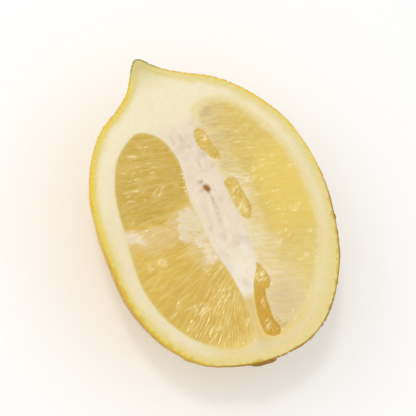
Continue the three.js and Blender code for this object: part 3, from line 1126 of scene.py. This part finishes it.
def make_stem_button(material):
    """The dry stem button, halved by the cut: a ridged scale on the rind."""
    low, high = BUTTON_LOW, BUTTON_HIGH
    middle = (low + high) / 2
    radius = (high[0] - low[0]) / 2
    rings, spokes = 16, 60
    piece = Piece("dry_stem_button")
    turn = np.linspace(math.pi, 2 * math.pi, spokes + 1)
    front, back = [], []
    for k in range(rings + 1):
        share = k / rings
        ragged = 1 - 0.1 * share * (1 + np.sin(5 * turn + 0.6)) / 2
        x = middle[0] + radius * share * ragged * np.cos(turn)
        z = TOP + radius * share * ragged * np.sin(turn)
        seat = back_along(x, z)
        ridges = 0.12 * np.abs(np.sin(7 * turn)) * share
        rise = 0.62 - 0.4 * share**3 + ridges - 0.3 * math.exp(-((share / 0.25) ** 2))
        back.append(np.column_stack([x, seat + 0.02, z]))
        front.append(np.column_stack([x, seat - rise, z]))
    grid = np.arange((rings + 1) * (spokes + 1)).reshape(rings + 1, spokes + 1)
    piece.add(np.vstack(front), joined(grid.T), flip=True)
    piece.add(np.vstack(back), joined(grid.T))
    border = [*grid[:, 0][::-1], *grid[-1, 1:], *grid[::-1, -1][1:]]
    faces = [[a, b, b + grid.size, a + grid.size] for a, b in zip(border, border[1:])]
    piece.add(np.vstack([*front, *back]), faces)
    rough = noise(piece.weld(0.002), 0.7, 66, 3)
    return piece.finish(mix(DRY, DRY_PALE, 0.5 + 0.5 * rough), material, "stem", "stem_button")


def back_along(x, z):
    """The place along the fruit where its stem end is, at places across and up."""
    y, left, right, half = PROFILE[::-1].T
    out = np.hypot(x[:, None] - (left + right) / 2, ((TOP - z) / DEPTH_SHARE)[:, None])
    return np.array([y[np.argmax(row)] for row in out <= half])


FIBRES = [
    # the points of each white strand on the torn skin, and its radius
    ([(7.2, 5.8), (8.5, 5.0), (9.9, 3.9)], 0.13),
    ([(8.0, 4.7), (9.5, 3.7), (11.0, 2.5)], 0.14),
    ([(9.8, 2.9), (10.9, 2.1), (11.9, 1.5)], 0.12),
    ([(6.2, 6.7), (7.2, 5.6), (8.2, 4.3)], 0.09),
    ([(9.6, 4.8), (10.7, 4.2), (12.0, 3.7)], 0.08),
]


def make_fibres(material):
    """Fine white strands that the cut pulled over the segment skin beside the core."""
    piece = Piece("core_fibres")
    sides = 7
    for points, radius in FIBRES:
        line = catmull(points, False, 8)
        line = line + 0.1 * drift(line, 1.4, 67, 68)
        along = np.gradient(line, axis=0)
        along /= np.linalg.norm(along, axis=1, keepdims=True)
        share = np.linspace(-1, 1, len(line))
        thick = radius * np.sqrt(np.clip(1.02 - share**4, 0.02, 1))
        rings = []
        for i in range(sides):
            turn = 2 * math.pi * i / sides
            side = np.column_stack([-along[:, 1], along[:, 0]]) * (thick * math.cos(turn))[:, None]
            rings.append(raised(line + side, TOP - 0.02 + thick * math.sin(turn)))
        grid = np.arange(sides * len(line)).reshape(sides, len(line))
        around = np.vstack([grid, grid[:1]])
        piece.add(np.vstack(rings), [*joined(around.T), grid[:, 0], grid[::-1, -1]], flip=True)
    tint = np.tile(STRAND_WHITE, (len(piece.weld(0.0005)), 1))
    return piece.finish(tint, material, "segment_skin", "lemon_half")


# ---- The object ----
# roughness, share and reach of the light inside, wet coat, height and size of the grain, and mottle
rind_skin = tissue("lemon_rind", 0.32, 0.08, 0.3, 0.25, 0.06, 0.3, 0.03)
pith_flesh = tissue("lemon_pith", 0.72, 0.3, 0.4, 0.05, 0.07, 0.3, 0.05)
pulp_flesh = tissue("lemon_pulp", 0.25, 0.25, 0.3, 0.5, 0.04, 0.22, 0.06)
film_flesh = tissue("segment_film", 0.36, 0.25, 0.3, 0.35, 0.05, 0.3, 0.06)
dry_stem = tissue("dry_stem", 0.85, 0.0, 0.1, 0.0, 0.08, 0.2, 0.2)

make_rind(rind_skin)
make_pith(pith_flesh)
make_pulp("left_pulp", LEFT, PULP_SPACING, PULP_DROP, 3, pulp_flesh, LEFT_FLECKS, left_veil)
make_pulp("right_pulp", RIGHT, HIDDEN_PULP_SPACING, SKINNED_PULP_DROP, 7, pulp_flesh, SLOT_FLECKS, under_skin)
make_segment_skin(film_flesh)
make_scrap(film_flesh)
make_fibres(film_flesh)
make_stem_button(dry_stem)


# ---- The floor, lights and camera ----
def make_floor():
    mesh = bpy.data.meshes.new("floor")
    reach = 3.0
    corners = [(-reach, -reach, 0), (reach, -reach, 0), (reach, reach, 0), (-reach, reach, 0)]
    mesh.from_pydata(corners, [], [(0, 1, 2, 3)])
    material = bpy.data.materials.new("pale_floor")
    material.use_nodes = True
    shader = material.node_tree.nodes["Principled BSDF"]
    set_inputs(shader, {"Base Color": (*linear(248, 248, 248), 1), "Roughness": 0.6})
    mesh.materials.append(material)
    in_scene("floor", mesh)


def make_light(name, place, size, power):
    """A square light, with its place and size in metres and its power in watts, aimed at the cut face."""
    data = bpy.data.lights.new(name, "AREA")
    data.size = size
    data.energy = power
    light = in_scene(name, data)
    light.location = place
    light.rotation_euler = (Vector((0, 0, TOP * MM)) - Vector(place)).to_track_quat("-Z", "Y").to_euler()


def make_world():
    world = bpy.data.worlds.new("studio")
    world.use_nodes = True
    set_inputs(world.node_tree.nodes["Background"], {"Color": (1, 1, 1, 1), "Strength": 0.8})
    bpy.context.scene.world = world


LEAN_ACROSS = math.radians(16.5)  # the camera's lean from straight above, towards the left segment
LEAN_ALONG = math.radians(3)  # and towards the stem end
ROLL = math.radians(23)  # how far the nipple leans to the left in the picture
DISTANCE = 0.36
LENS = 128


def make_camera():
    data = bpy.data.cameras.new("camera")
    data.lens = LENS
    camera = in_scene("camera", data)
    back = Vector((-math.tan(LEAN_ACROSS), -math.tan(LEAN_ALONG), 1)).normalized()
    along = Vector((0, 1, 0))
    along = (along - back * along.dot(back)).normalized()
    up = Matrix.Rotation(-ROLL, 3, back) @ along
    right = up.cross(back)
    target = Vector((-0.0005, 0.0, TOP * MM * 0.9))
    turned = Matrix((right, up, back)).transposed().to_4x4()
    camera.matrix_world = Matrix.Translation(target + back * DISTANCE) @ turned
    bpy.context.scene.camera = camera


make_floor()
make_world()
make_light("soft_key", (-0.35, 0.30, 0.75), 0.6, 1.5)
make_light("soft_fill", (0.55, -0.35, 0.5), 0.7, 0.4)
make_light("glint", (-0.10, 0.16, 0.55), 0.05, 0.35)
make_camera()
bpy.context.scene.view_settings.view_transform = "Standard"
